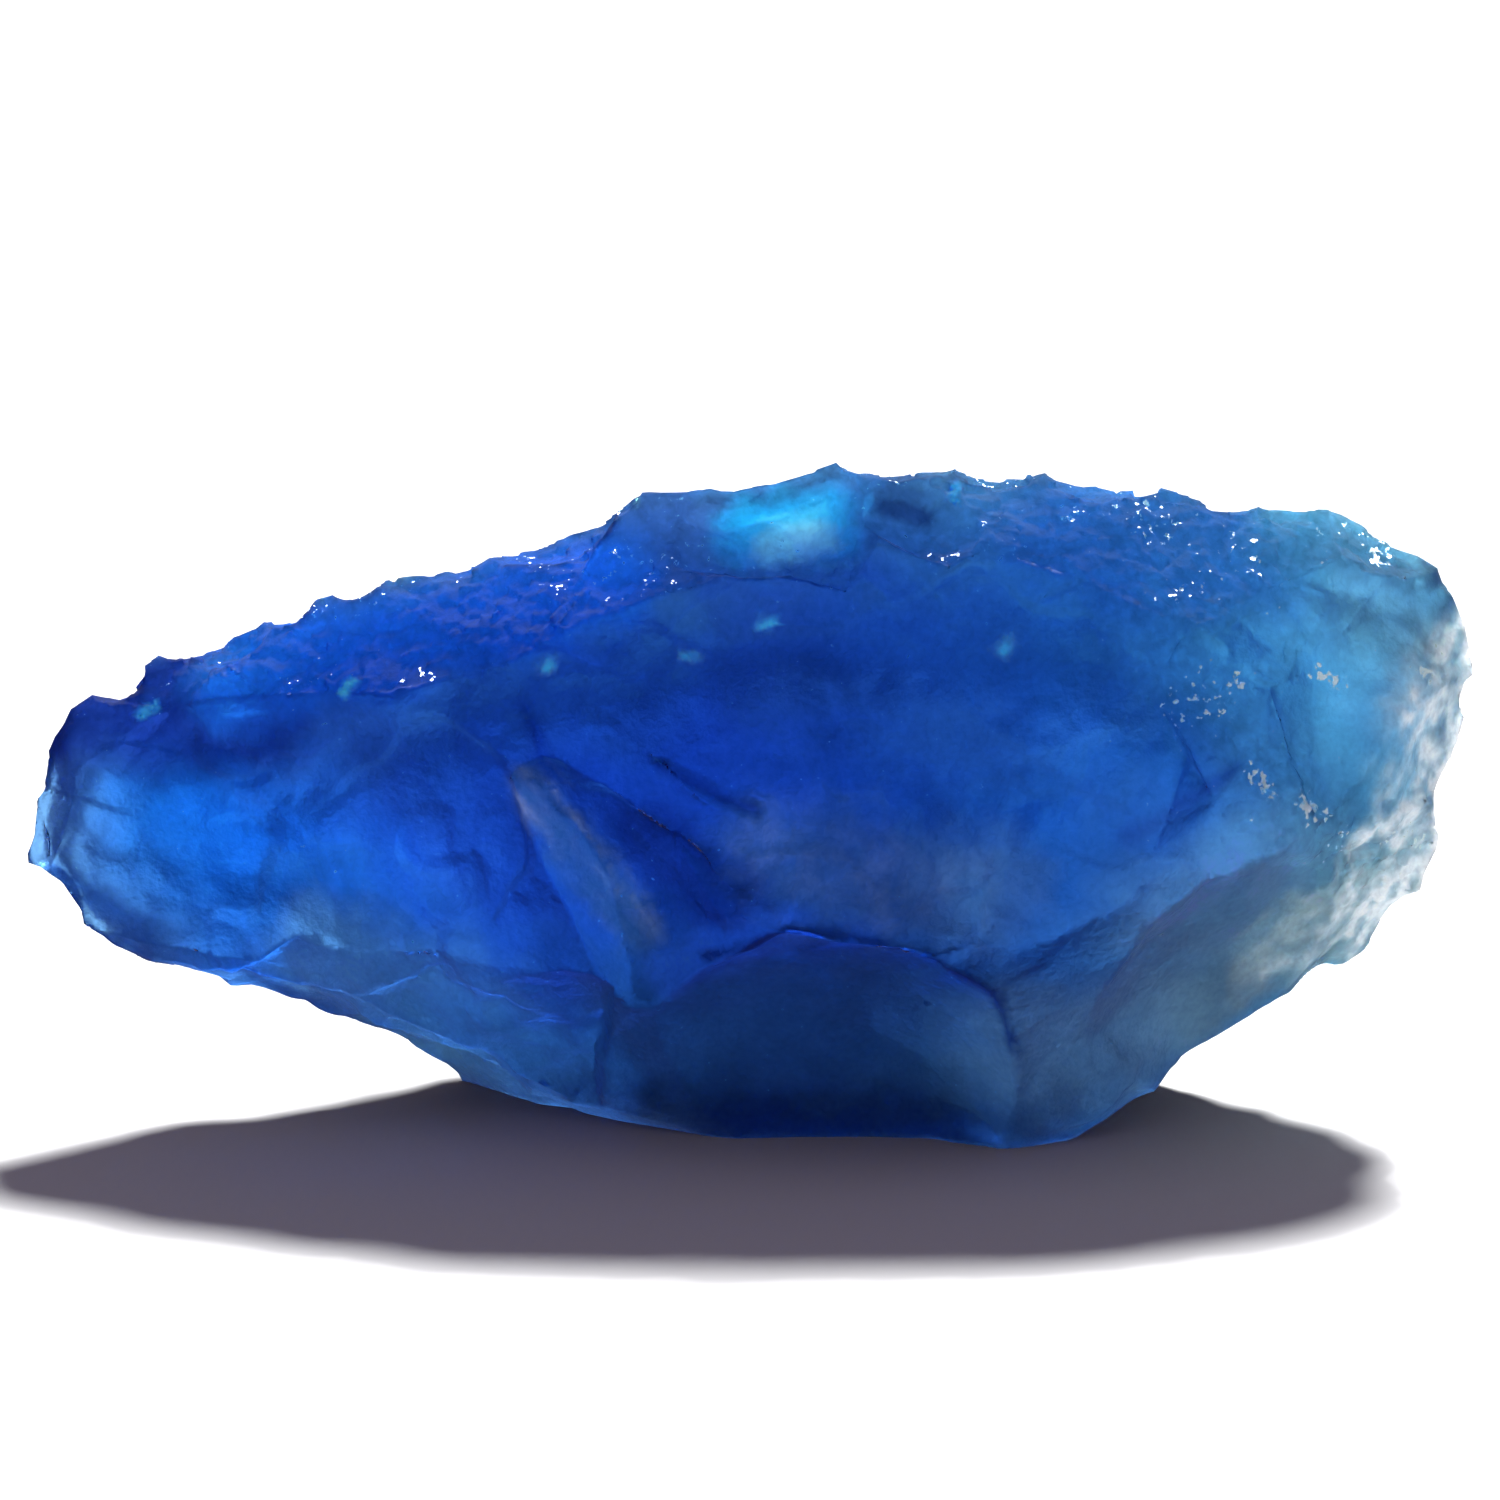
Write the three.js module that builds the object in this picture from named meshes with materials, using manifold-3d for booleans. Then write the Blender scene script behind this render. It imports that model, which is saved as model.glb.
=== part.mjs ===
// A raw piece of hauyne: one broken fragment of blue gem crystal, with no pieces of its own.
// It is worked as the real one broke: from a many-cornered blank, shell-shaped scars, ledges and
// small chips are struck off, its flats and edges are made uneven, and its foot is cut flat.
// Millimetres, +Z up. +X runs from the blunt point to the pale end, and +Y away from the viewer.
import * as THREE from "three";
import { ConvexGeometry } from "three/addons/geometries/ConvexGeometry.js";
import { ImprovedNoise } from "three/addons/math/ImprovedNoise.js";
import { TessellateModifier } from "three/addons/modifiers/TessellateModifier.js";
import { mergeVertices } from "three/addons/utils/BufferGeometryUtils.js";
import Module from "manifold-3d";

const wasm = await Module();
wasm.setup();

// Driving dimensions
const LENGTH = 10; // from the blunt point to the pale end
const TENTH = LENGTH / 10;
const VIEW_TILT = THREE.MathUtils.degToRad(13); // the viewer looks down on the stone by this much

// Every place and size from here on is in tenths of the length, until the stone is scaled.
const FOOT_LEVEL = 0.3; // height of the flat foot, above the viewer's zero for up
const FOOT_STOCK = 0.1; // what the blank has below the foot, to be cut off
const FACET = 0.42; // width of the flats that make up a curved scar
const LONGEST_EDGE = 0.55; // of any flat, before it is made uneven
const SPLIT_ROUNDS = 12; // enough to bring the longest edge of the blank under that
const RISER_LEAN = THREE.MathUtils.degToRad(35); // how far the wall of a ledge leans back
const FAR = 20; // further off than any corner

// Corners of the blank, as [across, up, depth] seen by the viewer: across and up are square to the
// line of sight, and depth runs away from the viewer.
const OUTLINE = [
  [-1.8, 0.58, 0.8], // underside, left of the foot
  [-2.97, 0.89, 0.5],
  [-3.87, 1.28, 0.2],
  [-4.5, 1.68, 0.0],
  [-4.97, 1.67, -0.1],
  [-4.94, 2.3, 0.0], // the blunt point
  [-4.9, 2.9, 0.05],
  [-4.39, 3.22, 0.05],
  [-3.8, 3.54, -0.05],
  [-2.56, 3.95, -0.25],
  [-0.69, 4.5, -0.35], // shoulder
  [0.42, 4.8, -0.3], // peak
  [1.87, 4.7, -0.2],
  [3.46, 4.52, -0.1],
  [4.46, 4.36, 0.0], // pale end
  [4.69, 4.2, 0.05],
  [4.84, 3.93, 0.1],
  [4.97, 3.68, 0.1],
  [5.02, 3.35, 0.1],
  [4.95, 2.8, 0.05],
  [4.86, 2.1, 0.0],
  [4.77, 1.77, 0.1],
  [4.53, 1.5, 0.2],
  [4.2, 1.24, 0.35],
  [3.11, 0.57, 0.7], // underside, right of the foot
];
const FRONT = [
  [-4.4, 2.6, -0.35], // front edge of the top, from the point to the pale end
  [-2.77, 3.15, -0.9],
  [-1.45, 3.4, -1.25],
  [-0.35, 4.15, -0.75],
  [0.83, 4.12, -0.9],
  [2.1, 4.25, -0.65],
  [2.97, 3.45, -1.25], // edge between the front and the pale end
  [4.0, 2.4, -1.05],
  [4.5, 2.9, -0.6],
  [-1.42, 2.45, -1.55], // ridge down the front
  [-0.66, 1.18, -1.6],
  [0.69, 1.5, -2.0], // brow over the foot
  [1.73, 1.1, -1.85],
  [2.49, 1.83, -1.85],
  [3.18, 1.6, -1.5],
  [-3.2, 1.5, -0.75], // lower left
];
const BACK = [
  [-3.3, 2.4, 1.1],
  [-1.0, 3.1, 2.0],
  [0.8, 3.2, 2.3],
  [2.6, 3.1, 2.0],
  [4.0, 2.7, 1.4],
  [-1.7, 1.6, 1.8],
  [0.6, 1.3, 2.2],
  [2.7, 1.3, 1.7],
];

// Corners of the foot, as [across, depth].
const FOOT = [
  [-1.7, 0.7],
  [0.05, -0.78],
  [0.5, -0.9],
  [1.35, -1.12],
  [1.93, -1.1],
  [2.2, -0.55],
  [2.35, 0.5],
  [1.9, 1.3],
  [0.5, 1.5],
  [-1.1, 1.3],
];

// Shell-shaped scars. Each is struck where the line of sight at [across, up] meets the blank, from
// the front or from behind, or where the plumb line at [across, depth] does, from above or below.
// One with a run is a ledge: it has a wall at the struck point, and runs out from there in that
// direction, in degrees anticlockwise from across.
const SCARS = [
  { side: "front", at: [0.75, 0.55], radius: 2.6, deep: 0.42 }, // under the brow
  { side: "front", at: [1.4, 3.3], radius: 24, deep: 0.2 }, // main face
  { side: "front", at: [-2.9, 2.2], radius: 12, deep: 0.2 }, // left face
  { side: "front", at: [0.3, 4.1], radius: 1.4, deep: 0.28, run: 80 }, // bright window at the peak
  { side: "front", at: [1.2, 4.22], radius: 0.9, deep: 0.14, run: 60 },
  { side: "front", at: [3.25, 1.45], radius: 3.2, deep: 0.24 }, // round facet at the pale end
  { side: "front", at: [0.9, 1.7], radius: 3.0, deep: 0.16 }, // shelf above the brow
  { side: "front", at: [-1.1, 1.83], radius: 2.4, deep: 0.3, run: 32 }, // hollow beside the ridge
  { side: "front", at: [-0.4, 2.5], radius: 1.9, deep: 0.16, run: -125 }, // cracks across the hollow
  { side: "front", at: [-0.35, 2.05], radius: 1.7, deep: 0.14, run: -130 },
  { side: "front", at: [1.55, 2.1], radius: 4.5, deep: 0.12, run: -110 }, // step across the front
  { side: "front", at: [-3.3, 1.35], radius: 2.6, deep: 0.12, run: -70 }, // lower left ledges
  { side: "front", at: [-2.4, 1.1], radius: 2.0, deep: 0.12, run: -75 },
  { side: "front", at: [-3.9, 2.75], radius: 2.4, deep: 0.12, run: 70 },
  { side: "front", at: [-1.0, 0.75], radius: 2.2, deep: 0.16, run: 170 },
  { side: "front", at: [2.9, 3.1], radius: 2.4, deep: 0.14, run: 35 }, // pale end
  { side: "front", at: [3.9, 2.6], radius: 1.8, deep: 0.12, run: 20 },
  { side: "back", at: [0.6, 4.0], radius: 12, deep: 0.3 },
  { side: "back", at: [-2.7, 3.1], radius: 7, deep: 0.24 },
  { side: "back", at: [3.6, 3.2], radius: 5, deep: 0.26 },
  { side: "back", at: [-0.6, 2.3], radius: 11, deep: 0.22 },
  { side: "back", at: [2.0, 1.9], radius: 6, deep: 0.22 },
  { side: "back", at: [0.6, 0.9], radius: 3.5, deep: 0.34 },
  { side: "back", at: [-2.6, 1.5], radius: 5, deep: 0.22 },
  { side: "back", at: [0.9, 2.9], radius: 3.2, deep: 0.16, run: 60 },
  { side: "back", at: [-1.8, 2.6], radius: 3.0, deep: 0.14, run: 150 },
  { side: "back", at: [2.9, 2.4], radius: 2.6, deep: 0.14, run: -40 },
  { side: "top", at: [3.2, 0.9], radius: 6, deep: 0.12 },
  { side: "top", at: [-2.8, 0.8], radius: 5, deep: 0.12 },
  { side: "top", at: [1.0, 1.2], radius: 4, deep: 0.12 },
  { side: "under", at: [-2.8, 0.1], radius: 7, deep: 0.16 },
  { side: "under", at: [3.4, 0.2], radius: 4.5, deep: 0.16 },
];

// Dips in the outline, as balls at [across, up, depth].
const DIPS = [
  { at: [-5.1, 2.68, 0.05], radius: 0.28 }, // notch in the point
  { at: [-1.4, 4.7, -0.35], radius: 0.64 }, // step below the shoulder
  { at: [1.05, 5.5, -0.25], radius: 0.96 }, // saddle right of the peak
  { at: [2.62, 4.86, -0.15], radius: 0.38 },
  { at: [5.2, 2.4, 0.1], radius: 0.42 }, // hollow in the pale end
];

// Small chips all along the outline: one for each spacing, of a size between the two given.
const CHIP = { spacing: 0.5, small: 0.25, large: 0.9, bite: 0.06, seed: 8 };

// Unevenness of the flats and edges: how long its waves are, and how far they sway.
const WAVES = [
  { length: 2.3, sway: 0.11 },
  { length: 0.9, sway: 0.08 },
  { length: 0.4, sway: 0.05 },
];

const across = new THREE.Vector3(1, 0, 0);
const up = new THREE.Vector3(0, Math.sin(VIEW_TILT), Math.cos(VIEW_TILT));

// A point in the stone's own frame, from its place as the viewer sees it.
function seen([x, high, depth]) {
  const z = (high - depth * Math.sin(VIEW_TILT)) / Math.cos(VIEW_TILT) - FOOT_LEVEL;
  return new THREE.Vector3(x, depth, z);
}

// A closed solid to cut with, from a geometry's triangles.
function toSolid(geometry) {
  const bare = new THREE.BufferGeometry();
  bare.setAttribute("position", geometry.getAttribute("position"));
  bare.setIndex(geometry.index);
  const merged = mergeVertices(bare);
  const vertProperties = merged.getAttribute("position").array;
  const triVerts = new Uint32Array(merged.index.array);
  return new wasm.Manifold(new wasm.Mesh({ numProp: 3, vertProperties, triVerts }));
}

// The triangles of a solid as a geometry.
function toGeometry(solid) {
  const { vertProperties, triVerts } = solid.getMesh();
  const geometry = new THREE.BufferGeometry();
  geometry.setAttribute("position", new THREE.BufferAttribute(vertProperties, 3));
  geometry.setIndex(new THREE.BufferAttribute(triVerts, 1));
  return geometry;
}

// A faceted ball, turned by its place so that no two show the same flats.
function ball(centre, radius) {
  const splits = Math.max(2, Math.round(radius / FACET));
  const geometry = new THREE.IcosahedronGeometry(radius, splits);
  geometry.rotateX(centre.x);
  geometry.rotateY(centre.z);
  geometry.translate(centre.x, centre.y, centre.z);
  return toSolid(geometry);
}

// A block that fills the side of a plane that the normal points to.
function halfSpace(point, normal) {
  const geometry = new THREE.BoxGeometry(FAR, FAR, FAR);
  const turn = new THREE.Quaternion().setFromUnitVectors(across, normal);
  const centre = point.clone().addScaledVector(normal, FAR / 2);
  geometry.applyQuaternion(turn);
  geometry.translate(centre.x, centre.y, centre.z);
  return toSolid(geometry);
}

const ground = FOOT.map(([x, depth]) => new THREE.Vector3(x, depth, -FOOT_STOCK));
const blank = new ConvexGeometry([...[...OUTLINE, ...FRONT, ...BACK].map(seen), ...ground]);
const blankMesh = new THREE.Mesh(blank);

// Where the lines to strike along start and end, on each side.
const SIDES = {
  front: ([x, high]) => [seen([x, high, -FAR]), seen([x, high, FAR])],
  back: ([x, high]) => [seen([x, high, FAR]), seen([x, high, -FAR])],
  top: ([x, depth]) => [new THREE.Vector3(x, depth, FAR), new THREE.Vector3(x, depth, -FAR)],
  under: ([x, depth]) => [new THREE.Vector3(x, depth, -FAR), new THREE.Vector3(x, depth, FAR)],
};

// What is struck off at a scar: a ball, or the part of it on one side of a ledge's leaning wall.
function scar({ side, at, radius, deep, run }) {
  const [start, end] = SIDES[side](at);
  const ray = new THREE.Raycaster(start, end.clone().sub(start).normalize());
  const [hit] = ray.intersectObject(blankMesh);
  const outward = hit.face.normal;
  const shell = ball(hit.point.clone().addScaledVector(outward, radius - deep), radius);
  if (run === undefined) {
    return shell;
  }
  const angle = THREE.MathUtils.degToRad(run);
  const away = across.clone().multiplyScalar(Math.cos(angle)).addScaledVector(up, Math.sin(angle));
  away.projectOnPlane(outward).normalize().multiplyScalar(Math.cos(RISER_LEAN));
  away.addScaledVector(outward, Math.sin(RISER_LEAN));
  return shell.intersect(halfSpace(hit.point.clone().addScaledVector(outward, -deep), away));
}

// Balls that take small chips out of the rim, all along it.
function chips() {
  const rim = new THREE.CurvePath();
  for (let index = 1; index < OUTLINE.length; index += 1) {
    rim.add(new THREE.LineCurve3(seen(OUTLINE[index - 1]), seen(OUTLINE[index])));
  }
  const middle = new THREE.Box3().setFromPoints(OUTLINE.map(seen)).getCenter(new THREE.Vector3());
  const count = Math.round(rim.getLength() / CHIP.spacing);
  const random = THREE.MathUtils.seededRandom;
  random(CHIP.seed);
  return Array.from({ length: count }, (_, index) => {
    const place = rim.getPointAt((index + random()) / count);
    const radius = THREE.MathUtils.lerp(CHIP.small, CHIP.large, random());
    const outward = place.clone().sub(middle);
    outward.y = (random() - 0.5) * outward.length();
    outward.normalize();
    return ball(place.addScaledVector(outward, radius - CHIP.bite * random()), radius);
  });
}

// A sway that changes smoothly from place to place, so that it bends the surface but can't tear it.
const noise = new ImprovedNoise();
function sway(point) {
  const moved = point.clone();
  for (const { length, sway: reach } of WAVES) {
    const { x, y, z } = point.clone().divideScalar(length).addScalar(length);
    moved.x += reach * noise.noise(x, y, z);
    moved.y += reach * noise.noise(y + FAR, z, x);
    moved.z += reach * noise.noise(z, x + FAR, y);
  }
  return moved;
}

let stone = toSolid(blank);
for (const each of SCARS) {
  stone = stone.subtract(scar(each));
}
for (const { at, radius } of DIPS) {
  stone = stone.subtract(ball(seen(at), radius));
}
for (const chip of chips()) {
  stone = stone.subtract(chip);
}

const flats = new TessellateModifier(LONGEST_EDGE, SPLIT_ROUNDS).modify(toGeometry(stone));
const corners = flats.getAttribute("position");
const corner = new THREE.Vector3();
for (let index = 0; index < corners.count; index += 1) {
  const { x, y, z } = sway(corner.fromBufferAttribute(corners, index));
  corners.setXYZ(index, x, y, z);
}
const above = halfSpace(new THREE.Vector3(), new THREE.Vector3(0, 0, 1));
const geometry = toGeometry(toSolid(flats).intersect(above));

// The origin is under the middle of the stone, on the surface that it rests on.
geometry.computeBoundingBox();
const middle = geometry.boundingBox.getCenter(new THREE.Vector3());
geometry.translate(-middle.x, -middle.y, 0);
geometry.scale(TENTH, TENTH, TENTH);
geometry.computeVertexNormals();

const hauyne = new THREE.Mesh(
  geometry,
  new THREE.MeshStandardMaterial({ color: 0x1745a4, roughness: 0.25, metalness: 0 }),
);
hauyne.name = "hauyne";

const part = new THREE.Group();
part.add(hauyne);

export default part;
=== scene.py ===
import math

import bmesh
import bpy
from mathutils import Matrix, Vector


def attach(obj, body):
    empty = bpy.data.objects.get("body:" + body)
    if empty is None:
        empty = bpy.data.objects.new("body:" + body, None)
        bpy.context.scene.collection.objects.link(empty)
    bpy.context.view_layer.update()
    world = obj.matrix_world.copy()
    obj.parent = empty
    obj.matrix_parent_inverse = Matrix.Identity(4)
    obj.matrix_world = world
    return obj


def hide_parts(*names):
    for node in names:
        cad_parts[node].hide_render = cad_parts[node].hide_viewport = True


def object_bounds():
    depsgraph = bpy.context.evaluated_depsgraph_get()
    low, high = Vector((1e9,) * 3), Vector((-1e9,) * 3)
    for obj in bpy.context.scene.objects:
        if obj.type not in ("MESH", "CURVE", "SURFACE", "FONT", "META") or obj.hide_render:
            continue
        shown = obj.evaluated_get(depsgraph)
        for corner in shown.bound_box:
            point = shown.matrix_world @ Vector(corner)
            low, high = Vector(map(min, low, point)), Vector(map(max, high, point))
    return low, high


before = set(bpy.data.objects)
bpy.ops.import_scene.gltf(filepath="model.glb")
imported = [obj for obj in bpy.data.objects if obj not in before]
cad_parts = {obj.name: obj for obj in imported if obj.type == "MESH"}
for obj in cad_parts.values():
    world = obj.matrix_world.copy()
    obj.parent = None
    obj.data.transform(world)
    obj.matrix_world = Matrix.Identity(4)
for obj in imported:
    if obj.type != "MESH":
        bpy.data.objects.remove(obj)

cad_low, cad_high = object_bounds()
scene = bpy.context.scene


# Camera
# A long lens, a little above the stone and square to its length, as a close-up is taken on a table.
photo_side = 1500  # pixels
stone_left, stone_right = 28, 1473  # pixels, where the stone's two ends are in the photograph
view_tilt = math.radians(13)
aim_height = 0.00252  # m, above the floor at the middle of the photograph
lens = 300  # mm
sensor = 36  # mm
frame_width = (cad_high.x - cad_low.x) * photo_side / (stone_right - stone_left)
towards_viewer = Vector((0, -math.cos(view_tilt), math.sin(view_tilt)))

camera = bpy.data.objects.new("camera", bpy.data.cameras.new("camera"))
scene.collection.objects.link(camera)
camera.data.lens = lens
camera.data.sensor_width = sensor
camera.data.clip_start = 0.001
camera.data.clip_end = 2
camera.location = Vector((0, 0, aim_height)) + towards_viewer * frame_width * lens / sensor
camera.rotation_mode = "QUATERNION"
camera.rotation_quaternion = (-towards_viewer).to_track_quat("-Z", "Y")
scene.camera = camera


# Stone
# One fragment of hauyne, a blue glassy mineral, broken out of its rock and left as it broke.
# Its big scars are smooth and shell-shaped; the rim and the pale end are hackly and frosted.
MM = 0.001


def linear(code):
    """An sRGB hex colour as linear red, green, blue and alpha."""
    channels = [int(code[at:at + 2], 16) / 255 for at in (1, 3, 5)]
    return [c / 12.92 if c <= 0.04045 else ((c + 0.055) / 1.055) ** 2.4 for c in channels] + [1]


def add(tree, kind, inputs=(), **settings):
    """A new node with its settings. Its inputs, by name or number, are values, sockets or whole nodes."""
    made = tree.nodes.new(kind)
    for name, value in settings.items():
        setattr(made, name, value)
    for key, value in (inputs if isinstance(inputs, dict) else dict(enumerate(inputs))).items():
        if isinstance(value, bpy.types.Node):
            value = value.outputs[0]
        if isinstance(value, bpy.types.NodeSocket):
            tree.links.new(value, made.inputs[key])
        else:
            made.inputs[key].default_value = value
    return made


# Hauyne crystal, freshly broken: clear blue glass to the eye, with a soft haze where it is dull, white
# where it is crushed, and tiny bright flats in the hackly places.
crystal = bpy.data.materials.new("hauyne_crystal_broken")
crystal.use_nodes = True
tree = crystal.node_tree
tree.nodes.clear()
place = add(tree, "ShaderNodeVectorMath", {
    0: add(tree, "ShaderNodeTexCoord").outputs["Object"], "Scale": 1 / MM}, operation="SCALE")
tint = add(tree, "ShaderNodeAttribute", attribute_name="tint")
# The frost attribute holds the real frost and also the painted glint spots.
frost_and_glints = add(tree, "ShaderNodeAttribute", attribute_name="frost_and_glints").outputs["Fac"]
hackly = add(tree, "ShaderNodeAttribute", attribute_name="hackly").outputs["Fac"]
sparkly = add(tree, "ShaderNodeAttribute", attribute_name="sparkly").outputs["Fac"]

grain_size = 0.05  # mm
grain_height = 0.015  # mm
grain = add(tree, "ShaderNodeTexNoise", {"Vector": place, "Scale": 1 / grain_size, "Detail": 2})
grainy = add(tree, "ShaderNodeBump", {"Strength": 0.6, "Distance": grain_height * MM, "Height": grain})

# In the sparkly places the highest grains are clean cleavages, all tilted much the same way: those on the top
# flash. Their colour is
# a painted glint: a paler cyan on the front, so that they let more light through, and white specks at the
# pale end.
cleavage = (0.15, -0.28, 0.95)  # the way that the clean flats face
cleavage_spread = 0.6
sparkle_lift = 0.14  # how much higher the grains count in a sparkly place
clean_from, clean_to = 0.74, 0.8  # the grain's height where a flat begins to be clean, and is
grain_middle = (0.65, 0.5, 0.5)  # the grain's colour where a flat isn't turned
clean = add(tree, "ShaderNodeMath", [sparkly, sparkle_lift, grain], operation="MULTIPLY_ADD")
clean = add(tree, "ShaderNodeMapRange", [clean, clean_from, clean_to])
spread = add(tree, "ShaderNodeVectorMath", [grain.outputs["Color"], grain_middle], operation="SUBTRACT")
spread = add(tree, "ShaderNodeVectorMath", {0: spread, "Scale": cleavage_spread}, operation="SCALE")
cleaved = add(tree, "ShaderNodeVectorMath", [spread, cleavage])
flashing = add(tree, "ShaderNodeMath", [clean, hackly], operation="MULTIPLY")
facing = add(tree, "ShaderNodeMix", {0: flashing, 4: grainy, 5: cleaved}, data_type="VECTOR").outputs[1]
facing = add(tree, "ShaderNodeVectorMath", [facing], operation="NORMALIZE")

# How dull the surface is, and how white: duller low down and in the hackly places, white where frosted and
# towards the end, where the clean flats are painted white glint specks.
low_down, higher_up = 0.6, 1.6  # mm above the floor
low_dullness, face_dullness, hackly_dullness, clean_dullness = 0.62, 0.46, 1.0, 0.25  # roughness
pale_from, pale_to = 2.0, 3.2  # mm along the stone
frost_clearness = 0.18  # what frost still lets through
length_along, _, height_up = add(tree, "ShaderNodeSeparateXYZ", [place]).outputs
dullness = add(tree, "ShaderNodeMapRange", [height_up, low_down, higher_up, low_dullness, face_dullness])
dullness = add(tree, "ShaderNodeMix", {0: hackly, 2: dullness, 3: hackly_dullness})
dullness = add(tree, "ShaderNodeMix", {0: clean, 2: dullness, 3: clean_dullness})
towards_end = add(tree, "ShaderNodeMapRange", [length_along, pale_from, pale_to])
white = add(tree, "ShaderNodeMath", [clean, towards_end], operation="MULTIPLY")
white = add(tree, "ShaderNodeMath", [white, frost_and_glints], operation="MAXIMUM")
clearness = add(tree, "ShaderNodeMapRange", [white, 0, 1, 1, frost_clearness])
deeper, paler = 0.86, 1.14  # how far the grain mottles the colour
mottle = add(tree, "ShaderNodeMapRange", [grain, 0.3, 0.7, deeper, paler])
tint = add(tree, "ShaderNodeVectorMath", {0: tint, "Scale": mottle}, operation="SCALE")
# Painted glints: the clean flats are tinted pale cyan on the front and white towards the end.
glint_speck = add(tree, "ShaderNodeMix", {
    0: towards_end, 6: linear("#a0ffff"), 7: linear("#e4faf8")}, data_type="RGBA").outputs[2]
tint = add(tree, "ShaderNodeMix", {0: clean, 6: tint, 7: glint_speck}, data_type="RGBA").outputs[2]

shader = add(tree, "ShaderNodeBsdfPrincipled", {
    "Base Color": tint,
    "Roughness": dullness,
    "IOR": 1.5,
    "Transmission Weight": clearness,
    "Specular Tint": linear("#4080d8"),
    "Subsurface Weight": 1,
    "Subsurface Radius": (1, 1, 1),
    "Subsurface Scale": 0.25 * MM,
    "Normal": facing,
})
depth_of_colour = add(tree, "ShaderNodeVolumeAbsorption", {
    "Color": linear("#10a8ee"),
    "Density": 900,
})
add(tree, "ShaderNodeOutputMaterial", {"Surface": shader, "Volume": depth_of_colour})

# How the surface broke, in millimetres: shallow shell-shaped scars of two sizes that meet in sharp
# edges, tiny hackles, and low curved ledges. Rough places are the top of the stone and a band across it.
broken = {
    "Scar size": 1.1,
    "Scar depth": 0.06,
    "Flake size": 0.36,
    "Flake depth": 0.045,
    "Hackle size": 0.12,
    "Hackle slope": 0.35,
    "Ledge height": 0.035,
    "Crack depth": 0.05,
    "Cloud size": 1.4,
    "Cloud drift": 1.6,
    "Veil size": 0.45,
}
relief = bpy.data.node_groups.new("broken_surface", "GeometryNodeTree")
relief.interface.new_socket("Stone", in_out="INPUT", socket_type="NodeSocketGeometry")
for name in broken:
    relief.interface.new_socket(name, in_out="INPUT", socket_type="NodeSocketFloat")
relief.interface.new_socket("Stone", in_out="OUTPUT", socket_type="NodeSocketGeometry")
given = add(relief, "NodeGroupInput").outputs
spot = add(relief, "GeometryNodeInputPosition")
outward = add(relief, "GeometryNodeInputNormal")
x, y, z = add(relief, "ShaderNodeSeparateXYZ", [spot]).outputs
upward = add(relief, "ShaderNodeSeparateXYZ", [outward]).outputs[2]


def nearness(zone, inner, outer):
    """1 within the inner distance of a line across the front, 0 past the outer one, with a ragged edge."""
    start, end = [Vector((across, 0, up)) for across, up in zone]
    run = end - start
    flat = add(relief, "ShaderNodeVectorMath", [spot, (1, 0, 1)], operation="MULTIPLY")
    from_start = add(relief, "ShaderNodeVectorMath", [flat, start], operation="SUBTRACT")
    share = add(relief, "ShaderNodeVectorMath", [from_start, run / run.length_squared],
                operation="DOT_PRODUCT").outputs["Value"]
    share = add(relief, "ShaderNodeMath", [share, 0], use_clamp=True)
    along_run = add(relief, "ShaderNodeVectorMath", {0: run, "Scale": share}, operation="SCALE")
    away = add(relief, "ShaderNodeVectorMath", [from_start, along_run], operation="DISTANCE").outputs["Value"]
    # The noise, half on average, moves the edge in and out by up to half of the outer distance.
    ragged = add(relief, "ShaderNodeTexNoise", {"Vector": spot, "Scale": 1.5 / max(outer, 0.3), "Detail": 3})
    away = add(relief, "ShaderNodeMath", [ragged, outer, away], operation="MULTIPLY_ADD")
    return add(relief, "ShaderNodeMapRange", [away, 1.5 * outer, inner + 0.5 * outer],
               interpolation_type="SMOOTHSTEP")


def unevenness(size, seed):
    """Soft noise about as coarse as the size, from a place of its own."""
    moved = add(relief, "ShaderNodeVectorMath", [spot, (seed, 0, -seed)])
    return add(relief, "ShaderNodeTexNoise", {"Vector": moved, "Scale": 1 / size, "Detail": 2})


def scars(size, depth, seed):
    """Height of shallow bowls about as wide as the size, sunk to the depth, that meet in sharp edges."""
    bend = add(relief, "ShaderNodeVectorMath", [unevenness(0.6, seed).outputs["Color"], (0.5, 0.5, 0.5)],
               operation="SUBTRACT")
    bend = add(relief, "ShaderNodeVectorMath", {0: bend, "Scale": size}, operation="SCALE")
    bent = add(relief, "ShaderNodeVectorMath", [spot, bend])
    bent = add(relief, "ShaderNodeVectorMath", [bent, (seed, seed, 0)])
    fineness = add(relief, "ShaderNodeMath", [1, size], operation="DIVIDE")
    bowl = add(relief, "ShaderNodeTexVoronoi", {"Vector": bent, "Scale": fineness}).outputs["Distance"]
    bowl = add(relief, "ShaderNodeMath", [bowl, 2], operation="POWER")
    bowl = add(relief, "ShaderNodeMath", [bowl, 0.25], operation="SUBTRACT")
    bowl = add(relief, "ShaderNodeMath", [bowl, 2], operation="MULTIPLY")
    return add(relief, "ShaderNodeMath", [bowl, depth], operation="MULTIPLY")


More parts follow.
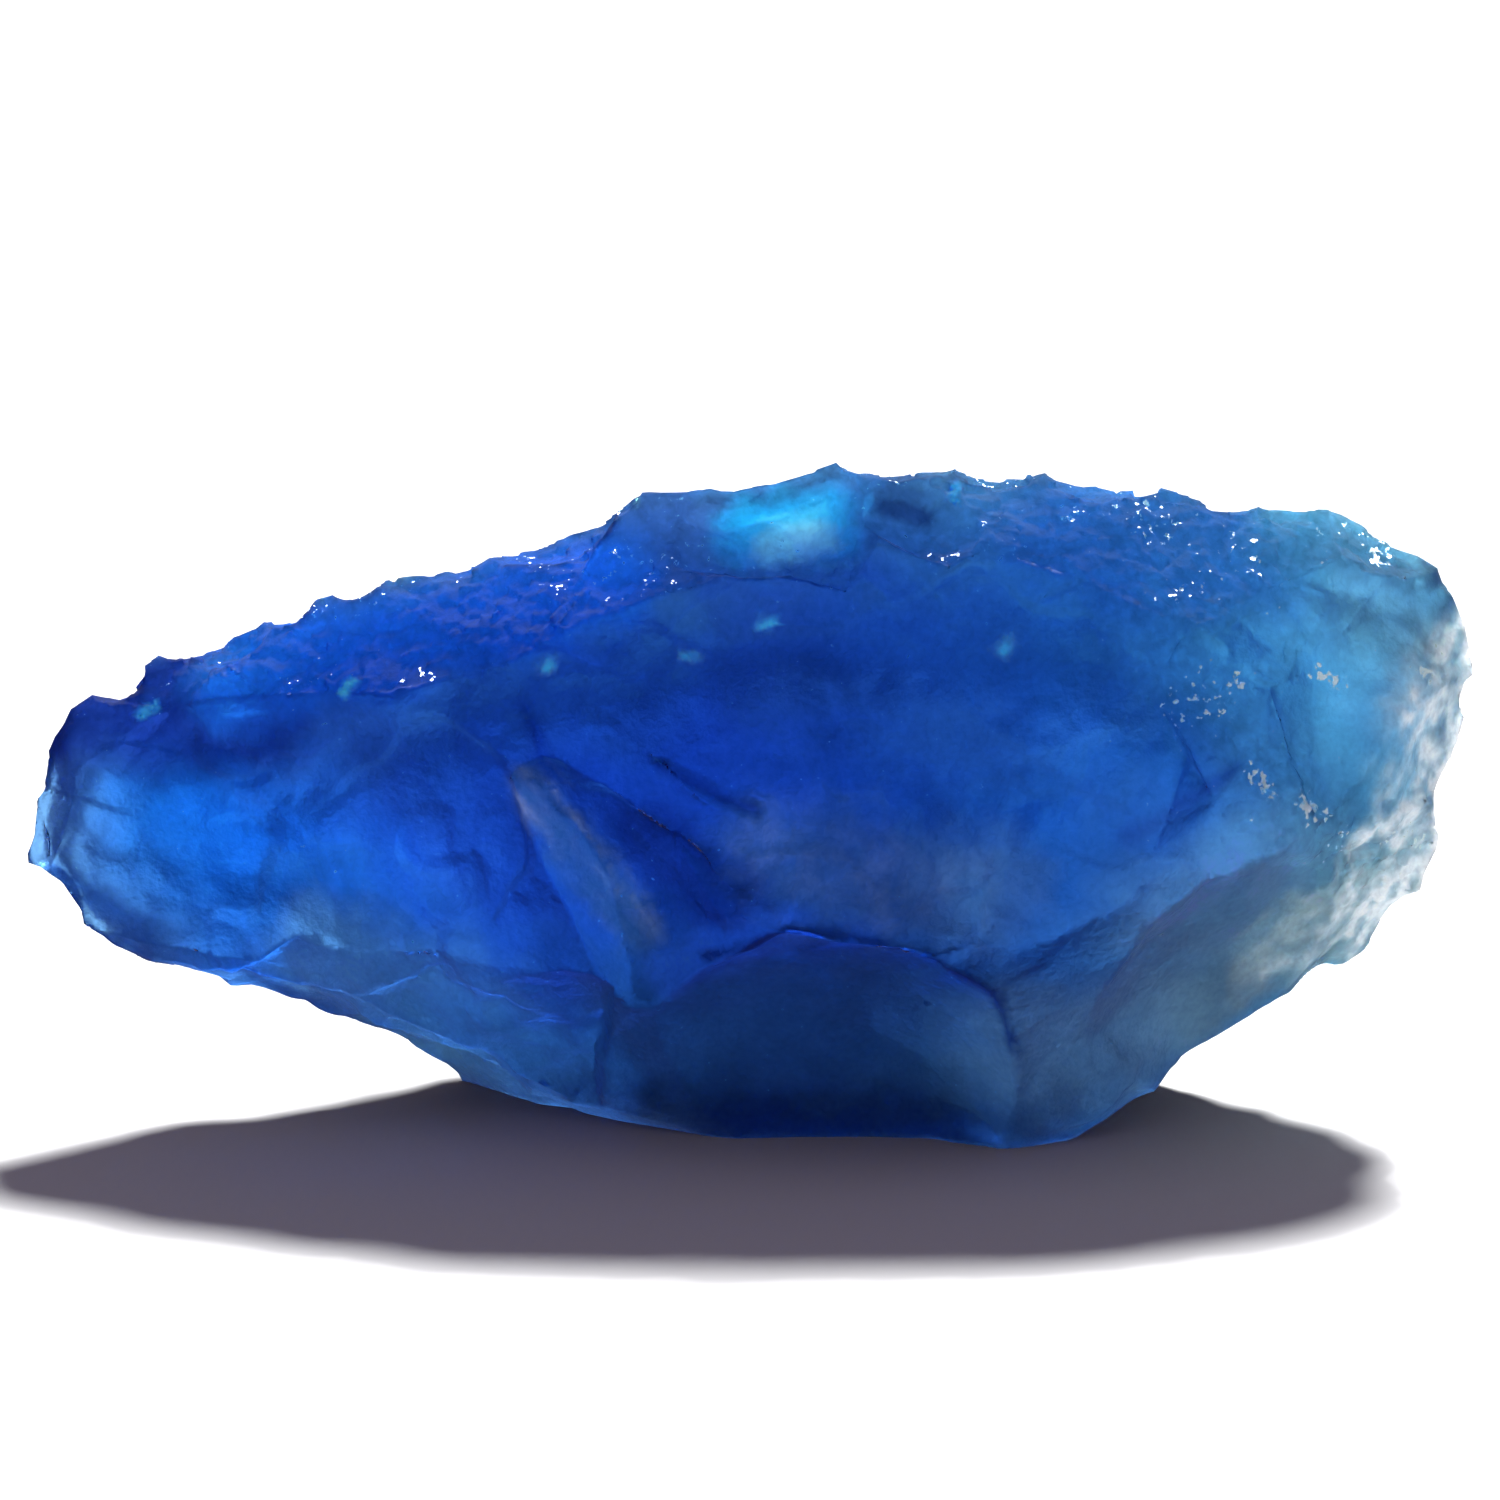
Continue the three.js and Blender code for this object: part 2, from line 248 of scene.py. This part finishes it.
def hackles(size, slope, seed):
    """Height of tiny flats as wide as the size, most of them turned up, each tilted its own way."""
    bend = add(relief, "ShaderNodeVectorMath", [unevenness(0.3, seed).outputs["Color"], (0.5, 0.5, 0.5)],
               operation="SUBTRACT")
    bend = add(relief, "ShaderNodeVectorMath", {0: bend, "Scale": size}, operation="SCALE")
    bent = add(relief, "ShaderNodeVectorMath", [spot, bend])
    fineness = add(relief, "ShaderNodeMath", [1, size], operation="DIVIDE")
    cells = add(relief, "ShaderNodeTexVoronoi", {"Vector": bent, "Scale": fineness}).outputs
    tilt = add(relief, "ShaderNodeVectorMath", [cells["Color"], (0.5, 0.5, 0.9)], operation="SUBTRACT")
    reach = add(relief, "ShaderNodeVectorMath", [bent, cells["Position"]], operation="SUBTRACT")
    rise = add(relief, "ShaderNodeVectorMath", [reach, tilt], operation="DOT_PRODUCT").outputs["Value"]
    return add(relief, "ShaderNodeMath", [rise, slope], operation="MULTIPLY")


# Places on the front, in millimetres across and up, that broke or took up colour in a way of their own, or
# where shade or light is painted into the colour, each the line along its middle. How far a place reaches
# from its line is given where it is used.
rough_band = (2.13, 4.31), (4.46, 1.66)
crushed_end = (5.0, 2.9), (4.7, 1.5)
crushed_patch = (3.7, 1.15), (3.95, 1.35)
frosted_flake = (-1.5, 2.6), (-0.75, 1.6)
ridge_line = (-1.54, 3.15), (-1.38, 2.71)
facet_edge = (3.34, 2.73), (2.58, 2.32)
# The two cracks are real grooves; the dark colour along them is painted shade.
upper_crack = (-0.62, 2.78), (0.03, 2.5)
lower_crack = (-0.75, 2.45), (-0.07, 2.05)
hackly_shelf = (0.1, 2.17), (1.6, 1.95)
azure_glow = (-3.9, 2.1), (-3.1, 1.66)
dark_tip = (-4.7, 2.85), (-3.4, 3.0)
# Painted shade: the scar under the brow is tinted grey-teal so that it looks dark; its calm relief is real.
shaded_scar = (-0.5, 0.9), (1.5, 0.8)
# Painted shade: the foot, where the stone meets the floor, is tinted dark.
shaded_foot = (-0.6, 0.15), (1.8, 0.15)
# Painted shade: a recess between the cracks is tinted darker.
shaded_hollow = (-0.7, 2.3), (-0.1, 1.85)
blue_foot = (-2.2, 0.5), (-1.0, 0.3)
blue_top = (2.2, 4.3), (3.4, 4.2)
left_edge = (-2.9, 1.25), (-1.9, 1.0)
pale_facet = (2.9, 1.9), (3.6, 1.8)
deep_right = (1.7, 2.2), (2.8, 2.6)
grey_shoulder = (-2.2, 3.5), (-0.7, 3.3)
# Painted shadow: a dark line under the brow over the scar, in colour only.
brow_shadow = [(-0.29, 1.51), (0.28, 1.73), (0.61, 1.7), (1.31, 1.5), (1.69, 1.25), (1.82, 0.8)]
grey_foot = (2.1, 0.8), (2.8, 0.9)
# Painted highlight: a lighter tint along the lip over the scar.
painted_lit_lip = (-0.55, 1.37), (0.27, 1.73)
window_brow = (-0.3, 4.6), (0.9, 4.65)
# Partly real and partly painted light: the crest is thin here and lets light through, and a lighter cyan tint
# and a bright core are painted on.
lit_thin_window = (-0.05, 4.22), (0.55, 4.3)
lit_window_core = (0.15, 4.13), (0.5, 4.19)
calm_foot = (2.4, 1.4), (3.5, 1.5)
pale_corner = (4.2, 4.1), (4.8, 3.4)
# Painted shade: a notch by the window, tinted dark.
shaded_notch = (0.92, 4.42), (1.2, 4.32)
blue_rim = (-3.6, 3.1), (-0.9, 3.9)
teal_corner = (3.7, 4.25), (4.6, 3.75)
# Painted glints: small pale azure spots that stand in for light thrown back from cracks inside.
painted_cyan_glints = [
    ((0.08, 3.68), (0.18, 3.7)), ((-0.46, 3.5), (-0.36, 3.48)), ((1.73, 3.5), (1.77, 3.54)),
    ((-2.8, 3.16), (-2.72, 3.22)), ((-1.4, 3.4), (-1.35, 3.45)), ((1.4, 4.45), (1.42, 4.51)),
    ((-4.22, 2.88), (-4.12, 2.94))]
# Painted glints: places with more clean flats, which are tinted white at the pale end, that stand in for
# sparkles.
painted_white_glints = [
    ((3.93, 3.28), (3.99, 3.26)), ((4.02, 3.24), (4.05, 3.19)), ((4.67, 3.2), (4.71, 3.15)),
    ((4.36, 3.98), (4.42, 3.95)), ((3.35, 3.27), (3.37, 3.29)), ((3.45, 2.7), (3.57, 2.56)),
    ((3.8, 2.45), (3.95, 2.3))]

# Where the surface is what: hackly on the rim and the band, sparkly in clusters there, flaky in patches,
# and calm on the big scar, low on the right and, in part, on the top.
rim_from, rim_to = 2.5, 3.0  # mm up
top_from, top_to = 0.65, 0.85  # how far up the surface faces, with the patches' share
top_patchiness = 0.6
end_from, end_to = 4.6, 6.0  # mm along the stone, with the patches' share
end_patchiness = 2.4
cluster_from, cluster_to = 0.53, 0.64
sparkle_behind = 0.2
painted_glint_strength = 1.7
calm_on_top = 0.7
relief_when_calm = 0.2
front = add(relief, "ShaderNodeMapRange", [y, 0.2, -0.2], interpolation_type="SMOOTHSTEP")
patches = unevenness(1.3, 5)
top = add(relief, "ShaderNodeMath", [patches, top_patchiness, upward], operation="MULTIPLY_ADD")
top = add(relief, "ShaderNodeMapRange", [top, top_from, top_to], interpolation_type="SMOOTHSTEP")
high_up = add(relief, "ShaderNodeMapRange", [z, rim_from, rim_to], interpolation_type="SMOOTHSTEP")
top = add(relief, "ShaderNodeMath", [top, high_up], operation="MULTIPLY")
hackled = add(relief, "ShaderNodeMath", [top, nearness(rough_band, 0.05, 0.45)], operation="MAXIMUM")
end = add(relief, "ShaderNodeMath", [patches, end_patchiness, x], operation="MULTIPLY_ADD")
end = add(relief, "ShaderNodeMapRange", [end, end_from, end_to], interpolation_type="SMOOTHSTEP")
clusters = add(relief, "ShaderNodeMapRange", [unevenness(0.4, 7), cluster_from, cluster_to])
sparkly = add(relief, "ShaderNodeMath", [hackled, end], operation="MAXIMUM")
sparkly = add(relief, "ShaderNodeMath", [sparkly, clusters], operation="MULTIPLY")
fewer_behind = add(relief, "ShaderNodeMapRange", [front, 0, 1, sparkle_behind, 1])
sparkly = add(relief, "ShaderNodeMath", [sparkly, fewer_behind], operation="MULTIPLY")
# Painted glints: these places get more of the clean flats, which the material tints white at the pale end.
for painted_glint in painted_white_glints:
    there = add(relief, "ShaderNodeMath", [nearness(painted_glint, 0.03, 0.12), front], operation="MULTIPLY")
    there = add(relief, "ShaderNodeMath", [there, painted_glint_strength], operation="MULTIPLY")
    sparkly = add(relief, "ShaderNodeMath", [there, sparkly], operation="MAXIMUM")
flaky = add(relief, "ShaderNodeMapRange", [patches, 0.45, 0.6], interpolation_type="SMOOTHSTEP")
for zone, share in [(hackled, 0.3), (end, 0.3), (nearness(hackly_shelf, 0.1, 0.5), 1)]:
    rough = add(relief, "ShaderNodeMath", [zone, share], operation="MULTIPLY")
    flaky = add(relief, "ShaderNodeMath", [flaky, rough], operation="MAXIMUM")
calm = add(relief, "ShaderNodeMath", [
    nearness(shaded_scar, 0.3, 0.9), nearness(calm_foot, 0.4, 0.9)], operation="MAXIMUM")
finer = add(relief, "ShaderNodeMath", [top, calm_on_top], operation="MULTIPLY")
calm = add(relief, "ShaderNodeMath", [calm, finer], operation="MAXIMUM")
uneven = add(relief, "ShaderNodeMapRange", [calm, 0, 1, 1, relief_when_calm])
flaky = add(relief, "ShaderNodeMath", [flaky, uneven], operation="MULTIPLY")

# Frost: crumbled white at the pale end, a dusting on the shelf, a faint haze in some places, and streaks
# down the flake that stands off the front.
patch_frost, shelf_frost, streak_frost = 0.6, 0.12, 0.5  # 1 is white
least_crumbs, least_grit, most_grit, frost_behind = 0.45, 0.55, 1.4, 0.4  # shares of the full frost
streak_length, streak_width = 1 / 1.5, 1 / 14  # mm
white_patch = add(relief, "ShaderNodeMath", [nearness(crushed_patch, 0.05, 0.6), patch_frost],
                  operation="MULTIPLY")
crushed = add(relief, "ShaderNodeMath", [nearness(crushed_end, 0.4, 0.8), white_patch], operation="MAXIMUM")
dusty_shelf = add(relief, "ShaderNodeMath", [nearness(hackly_shelf, 0.1, 0.55), front], operation="MULTIPLY")
dusty_shelf = add(relief, "ShaderNodeMath", [dusty_shelf, shelf_frost], operation="MULTIPLY")
crushed = add(relief, "ShaderNodeMath", [crushed, dusty_shelf], operation="MAXIMUM")
crumbs = add(relief, "ShaderNodeMapRange", [unevenness(0.4, 4), 0.25, 0.65, least_crumbs],
             interpolation_type="SMOOTHSTEP")
grit = add(relief, "ShaderNodeMapRange", [unevenness(0.12, 6), 0.35, 0.65, least_grit, most_grit])
for grains in (crumbs, grit):
    crushed = add(relief, "ShaderNodeMath", [crushed, grains], operation="MULTIPLY")
clearer_behind = add(relief, "ShaderNodeMapRange", [front, 0, 1, frost_behind, 1])
crushed = add(relief, "ShaderNodeMath", [crushed, clearer_behind], operation="MULTIPLY")
for zone, outer, amount in [
        (pale_facet, 1.2, 0.08), (grey_foot, 1.0, 0.06), (left_edge, 0.6, 0.03), (pale_corner, 0.5, 0.05)]:
    haze = add(relief, "ShaderNodeMath", [nearness(zone, 0.2, outer), amount], operation="MULTIPLY")
    crushed = add(relief, "ShaderNodeMath", [crushed, haze], operation="MAXIMUM")
flake_run = Vector((frosted_flake[1][0] - frosted_flake[0][0], 0, frosted_flake[1][1] - frosted_flake[0][1]))
flake_run.normalize()
lengthwise = add(relief, "ShaderNodeVectorMath", [spot, flake_run], operation="DOT_PRODUCT").outputs["Value"]
crosswise = add(relief, "ShaderNodeVectorMath", [spot, flake_run.cross((0, 1, 0))],
                operation="DOT_PRODUCT").outputs["Value"]
streaks = add(relief, "ShaderNodeCombineXYZ", [
    add(relief, "ShaderNodeMath", [lengthwise, streak_length], operation="DIVIDE"),
    add(relief, "ShaderNodeMath", [crosswise, streak_width], operation="DIVIDE"), 0])
streaks = add(relief, "ShaderNodeTexNoise", {"Vector": streaks, "Scale": 1, "Detail": 2})
streaks = add(relief, "ShaderNodeMapRange", [streaks, 0.45, 0.7, 0, streak_frost])
streaks = add(relief, "ShaderNodeMath", [streaks, front], operation="MULTIPLY")
crushed = add(relief, "ShaderNodeMath", [nearness(frosted_flake, 0.1, 0.26), streaks, crushed],
              operation="MULTIPLY_ADD")

# Colour: clouds of deeper and paler blue along the stone, then the places, among them painted shade and
# painted light, and the dark marks on the front, some of them painted shade, then inner veils that dim it,
# painted shade of pits in the hackly places, the frost, and last the painted azure glints.
veil_dark, veil_light = 0.72, 1.18  # how far the veils dim and light the colour
# Painted shade of tiny pits in the hackly places.
pit_shade_depth = 0.3  # how much a pit darkens
clouds = add(relief, "ShaderNodeTexNoise", {
    "Vector": spot, "Scale": add(relief, "ShaderNodeMath", [1, given["Cloud size"]], operation="DIVIDE"),
    "Detail": 3})
clouds = add(relief, "ShaderNodeMath", [clouds, 0.5], operation="SUBTRACT")
along = add(relief, "ShaderNodeMath", [clouds, given["Cloud drift"], x], operation="MULTIPLY_ADD")
along = add(relief, "ShaderNodeMapRange", [along, -5, 5])
ramp = add(relief, "ShaderNodeValToRGB", [along])
ramp.color_ramp.interpolation = "B_SPLINE"
for at, code in [(0.2, "#4686d2"), (0.45, "#507cb6"), (0.62, "#3474c2"), (0.8, "#98ece4")]:
    ramp.color_ramp.elements.new(at).color = linear(code)
ramp.color_ramp.elements[0].color = linear("#6fa8e0")
ramp.color_ramp.elements[-1].color = linear("#88ccde")
colour = ramp.outputs["Color"]
for zone, inner, outer, code in [
        (azure_glow, 0.2, 1.1, "#2c98f8"),
        (left_edge, 0.1, 0.6, "#b0f0ff"),
        (pale_facet, 0.3, 0.9, "#ccffe0"),
        (deep_right, 0.25, 0.75, "#3c88b8"),
        (grey_shoulder, 0.25, 0.7, "#68a4cc"),
        (blue_top, 0.2, 0.8, "#509cdc"),
        (dark_tip, 0.2, 0.7, "#2448a8"),
        (blue_foot, 0.2, 0.8, "#80c0d8"),
        # painted shade in the scar under the brow
        (shaded_scar, 0.4, 0.9, "#608894"),
        # painted shade along the foot
        (shaded_foot, 0.1, 0.35, "#4a6464"),
        (grey_foot, 0.2, 0.9, "#dcecc4"),
        (hackly_shelf, 0.1, 0.6, "#98a898"),
        # painted shade in the hollow between the cracks
        (shaded_hollow, 0.1, 0.4, "#34508c"),
        # painted highlight on the lip
        (painted_lit_lip, 0.05, 0.25, "#a0c8ff"),
        (window_brow, 0.05, 0.25, "#5898d0"),
        # light through the thin crest, strengthened by a painted lighter tint
        (lit_thin_window, 0.03, 0.32, "#34ccff"),
        # painted bright core of the window
        (lit_window_core, 0.02, 0.16, "#b0ffff"),
        (blue_rim, 0.1, 0.4, "#3094fc"),
        (teal_corner, 0.15, 0.45, "#68b8d8")]:
    colour = add(relief, "ShaderNodeMix", {
        0: nearness(zone, inner, outer), 6: colour, 7: linear(code)}, data_type="RGBA").outputs[2]
for mark, inner, outer, code in [
        # painted shade in the notch
        (shaded_notch, 0.03, 0.12, "#1c3868"),
        (frosted_flake, 0.08, 0.24, "#788c86"),
        # painted shade in the cracks
        (upper_crack, 0.0, 0.08, "#20386c"),
        (lower_crack, 0.0, 0.16, "#1c3060"),
        (ridge_line, 0.0, 0.12, "#3460a8"),
        (facet_edge, 0.0, 0.1, "#2c5c98"),
        # painted shadow under the brow
        *((line, 0.02, 0.07, "#2a3c68") for line in zip(brow_shadow, brow_shadow[1:]))]:
    there = add(relief, "ShaderNodeMath", [nearness(mark, inner, outer), front], operation="MULTIPLY")
    colour = add(relief, "ShaderNodeMix", {0: there, 6: colour, 7: linear(code)}, data_type="RGBA").outputs[2]
veils = add(relief, "ShaderNodeTexNoise", {
    "Vector": spot, "Scale": add(relief, "ShaderNodeMath", [1, given["Veil size"]], operation="DIVIDE"),
    "Detail": 4, "Roughness": 0.65})
veils = add(relief, "ShaderNodeMapRange", [veils, 0.35, 0.65, veil_dark, veil_light])
colour = add(relief, "ShaderNodeVectorMath", {0: colour, "Scale": veils}, operation="SCALE")
# Painted shade: tiny dark spots in the hackly places stand for the shade in pits; no pits are cut.
pit_shade = add(relief, "ShaderNodeMapRange", [unevenness(0.08, 8), 0.56, 0.44, 0, pit_shade_depth])
pit_shade = add(relief, "ShaderNodeMath", [pit_shade, hackled], operation="MULTIPLY")
unshaded_by_pits = add(relief, "ShaderNodeMath", [1, pit_shade], operation="SUBTRACT")
colour = add(relief, "ShaderNodeVectorMath", {0: colour, "Scale": unshaded_by_pits}, operation="SCALE")
colour = add(relief, "ShaderNodeMix", {
    0: crushed, 6: colour, 7: linear("#e6f2f8")}, data_type="RGBA").outputs[2]
# Painted glints: azure spots, made pale and dull with frost, that stand in for glints.
painted_glinting = 0
for painted_glint in painted_cyan_glints:
    painted_glinting = add(relief, "ShaderNodeMath", [nearness(painted_glint, 0.02, 0.05), painted_glinting], operation="MAXIMUM")
painted_glinting = add(relief, "ShaderNodeMath", [painted_glinting, front], operation="MULTIPLY")
painted_glint_colour = add(relief, "ShaderNodeMix", {
    0: painted_glinting, 6: linear("#0868f0"), 7: linear("#4cc0ff")}, data_type="RGBA").outputs[2]
colour = add(relief, "ShaderNodeMix", {0: painted_glinting, 6: colour, 7: painted_glint_colour}, data_type="RGBA").outputs[2]
# The frost holds the real frost and also the painted glint spots.
frost_and_glints = add(relief, "ShaderNodeMath", [crushed, painted_glinting], operation="MAXIMUM")

# Shape: everything that raises or sinks the surface, held back on sharp edges and fading out at the
# flat foot, so that the solid's own edges stay.
ledges = 6
kept_on_edges = 0.25
foot_from, foot_to = 0.02, 0.3  # mm up, where the relief begins and is full
ledge = add(relief, "ShaderNodeMath", [unevenness(1.8, 9), ledges], operation="MULTIPLY")
riser = add(relief, "ShaderNodeMapRange", [
    add(relief, "ShaderNodeMath", [ledge], operation="FRACT"), 0.8, 1], interpolation_type="SMOOTHSTEP")
ledge = add(relief, "ShaderNodeMath", [add(relief, "ShaderNodeMath", [ledge], operation="FLOOR"), riser])
ledge = add(relief, "ShaderNodeMath", [ledge, ledges / 2], operation="SUBTRACT")
height = add(relief, "ShaderNodeMath", [ledge, given["Ledge height"]], operation="MULTIPLY")
height = add(relief, "ShaderNodeMath", [height, uneven], operation="MULTIPLY")
for part, amount in [
        (scars(given["Scar size"], given["Scar depth"], 1), uneven),
        (scars(given["Flake size"], given["Flake depth"], 2), flaky),
        (hackles(given["Hackle size"], given["Hackle slope"], 3), hackled)]:
    height = add(relief, "ShaderNodeMath", [part, amount, height], operation="MULTIPLY_ADD")
for crack, width in [(upper_crack, 0.08), (lower_crack, 0.16)]:
    groove = add(relief, "ShaderNodeMath", [nearness(crack, 0, width), given["Crack depth"]],
                 operation="MULTIPLY")
    groove = add(relief, "ShaderNodeMath", [groove, front], operation="MULTIPLY")
    height = add(relief, "ShaderNodeMath", [height, groove], operation="SUBTRACT")
smoothed = add(relief, "GeometryNodeBlurAttribute", {"Value": outward, "Iterations": 16},
               data_type="FLOAT_VECTOR")
flatness = add(relief, "ShaderNodeVectorMath", [smoothed], operation="LENGTH").outputs["Value"]
kept = add(relief, "ShaderNodeMapRange", [flatness, 0.8, 0.97, kept_on_edges, 1])
height = add(relief, "ShaderNodeMath", [height, kept], operation="MULTIPLY")
above_foot = add(relief, "ShaderNodeMapRange", [z, foot_from, foot_to], interpolation_type="SMOOTHSTEP")
height = add(relief, "ShaderNodeMath", [height, above_foot], operation="MULTIPLY")
offset = add(relief, "ShaderNodeVectorMath", {0: outward, "Scale": height}, operation="SCALE")

shape = given["Stone"]
for name, value, kind in [
        ("tint", colour, "FLOAT_COLOR"), ("frost_and_glints", frost_and_glints, "FLOAT"),
        ("hackly", hackled, "FLOAT"), ("sparkly", sparkly, "FLOAT")]:
    shape = add(relief, "GeometryNodeStoreNamedAttribute", {
        "Geometry": shape, "Name": name, "Value": value}, data_type=kind)
shape = add(relief, "GeometryNodeSetPosition", {"Geometry": shape, "Offset": offset})
shape = add(relief, "GeometryNodeRealizeInstances", [shape])
shape = add(relief, "GeometryNodeSetMaterial", {"Geometry": shape, "Material": crystal})
add(relief, "NodeGroupOutput", [shape])

# The solid's own shape, as one even fine mesh in millimetres, is given that surface.
work = bmesh.new()
work.from_mesh(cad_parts["hauyne"].data)
bmesh.ops.remove_doubles(work, verts=work.verts, dist=1e-7)
work.transform(Matrix.Scale(1 / MM, 4))
stone_mesh = bpy.data.meshes.new("stone")
work.to_mesh(stone_mesh)
work.free()
stone = bpy.data.objects.new("stone", stone_mesh)
scene.collection.objects.link(stone)
remesh = stone.modifiers.new("even", "REMESH")
remesh.mode = "SHARP"
remesh.octree_depth = 9
remesh.scale = 0.95
surface = stone.modifiers.new("broken", "NODES")
surface.node_group = relief
for item in relief.interface.items_tree:
    if item.name in broken:
        surface[item.identifier] = broken[item.name]

thin = stone.modifiers.new("thin", "DECIMATE")
thin.ratio = 0.26  # about 190,000 triangles
evaluated = stone.evaluated_get(bpy.context.evaluated_depsgraph_get())
fine = bpy.data.meshes.new_from_object(evaluated)
stone.modifiers.clear()
stone.data = fine
fine.transform(Matrix.Scale(MM, 4))
fine.shade_smooth()
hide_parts("hauyne")
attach(stone, "root")


# Floor and light
# A plain pale floor, and one soft lamp behind the stone, so that light comes through it to the
# viewer and its shadow falls forward.
floor_side = 0.4  # m
floor_mesh = bpy.data.meshes.new("floor")
half = floor_side / 2
floor_mesh.from_pydata(
    [(-half, -half, 0), (half, -half, 0), (half, half, 0), (-half, half, 0)], [], [(0, 1, 2, 3)])
floor = bpy.data.objects.new("floor", floor_mesh)
scene.collection.objects.link(floor)
card = bpy.data.materials.new("matt_white_card")
card.use_nodes = True
card.node_tree.nodes["Principled BSDF"].inputs["Base Color"].default_value = linear("#eeeeee")
card.node_tree.nodes["Principled BSDF"].inputs["Roughness"].default_value = 0.9
floor_mesh.materials.append(card)
floor.visible_glossy = False

lamp = bpy.data.objects.new("back_lamp", bpy.data.lights.new("back_lamp", "SUN"))
scene.collection.objects.link(lamp)
lamp.data.energy = 6.5
lamp.data.angle = math.radians(11)
lamp_height, lamp_turn = math.radians(47.5), math.radians(12)
from_lamp = Vector((
    -math.sin(lamp_turn) * math.cos(lamp_height),
    -math.cos(lamp_turn) * math.cos(lamp_height),
    -math.sin(lamp_height)))
lamp.rotation_mode = "QUATERNION"
lamp.rotation_quaternion = from_lamp.to_track_quat("-Z", "Y")

bulb = bpy.data.objects.new("small_bulb", bpy.data.lights.new("small_bulb", "SUN"))
scene.collection.objects.link(bulb)
bulb.data.energy = 0.8
bulb.data.angle = math.radians(1)
bulb.rotation_mode = "QUATERNION"
bulb.rotation_quaternion = lamp.rotation_quaternion

room = bpy.data.worlds.new("room")
room.use_nodes = True
room.node_tree.nodes["Background"].inputs["Color"].default_value = linear("#e0d2ee")
room.node_tree.nodes["Background"].inputs["Strength"].default_value = 0.19
scene.world = room
scene.view_settings.view_transform = "Standard"
scene.cycles.caustics_refractive = False
scene.cycles.max_bounces = 8
